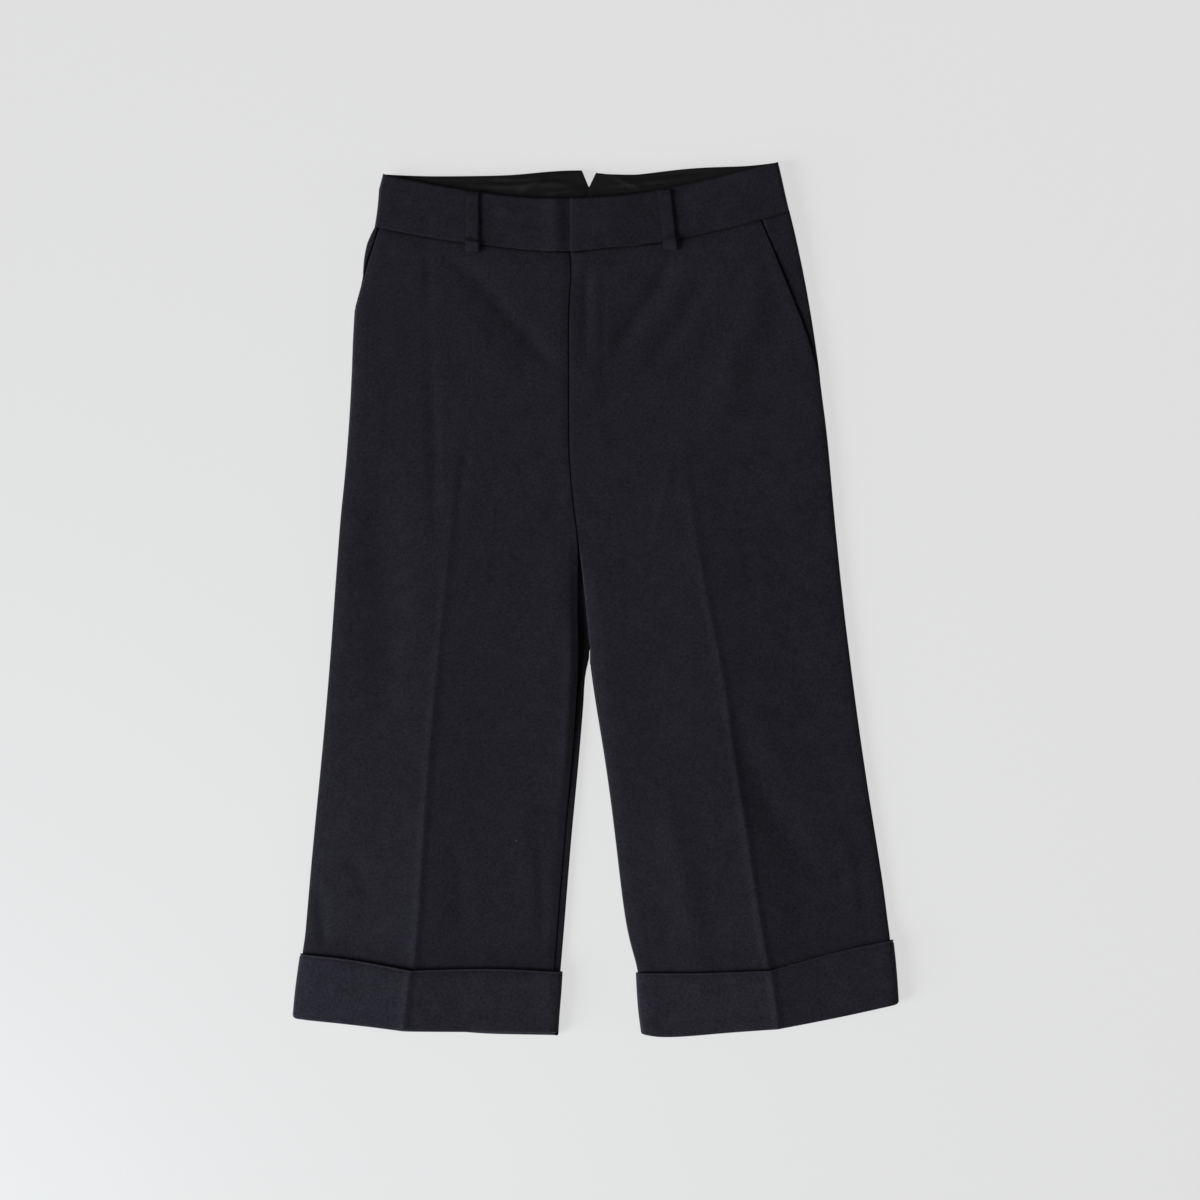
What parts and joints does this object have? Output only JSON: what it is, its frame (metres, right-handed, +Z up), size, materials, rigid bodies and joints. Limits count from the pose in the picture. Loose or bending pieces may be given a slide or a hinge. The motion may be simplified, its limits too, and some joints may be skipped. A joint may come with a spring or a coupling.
{
  "type": "flannel trousers",
  "caption": "Cropped wide-leg flannel trousers with turn-ups, a fly front, slanted pockets and belt loops, laid out flat with the front up.",
  "frame": {"origin": "on the surface the trousers lie on, under the middle of their outline", "axes": "+Y along the legs towards the waist, +X towards the wearer's left side, +Z up from the surface, out of the front"},
  "size_m": [0.546, 0.7881, 0.0125],
  "materials": {
    "flannel": "soft napped wool flannel, dark navy melange",
    "lining": "smooth dense satin lining, black"
  },
  "bodies": {
    "root": {"front_right": "flannel", "front_left": "flannel", "back_right": "flannel", "back_left": "flannel", "waistband_front_right": "flannel", "waistband_front_left": "flannel", "waistband_back_right": "flannel", "waistband_back_left": "flannel", "waistband_lining_right": "lining", "waistband_lining_left": "lining", "belt_loop_front_right": "flannel", "belt_loop_front_left": "flannel", "belt_loop_back_right": "flannel", "belt_loop_back_left": "flannel", "turn_up_front_right": "flannel", "turn_up_back_right": "flannel", "turn_up_front_left": "flannel", "turn_up_back_left": "flannel", "pocket_bearer_right": "flannel", "pocket_bearer_left": "flannel", "fly_shield": "flannel"}
  },
  "joints": []
}
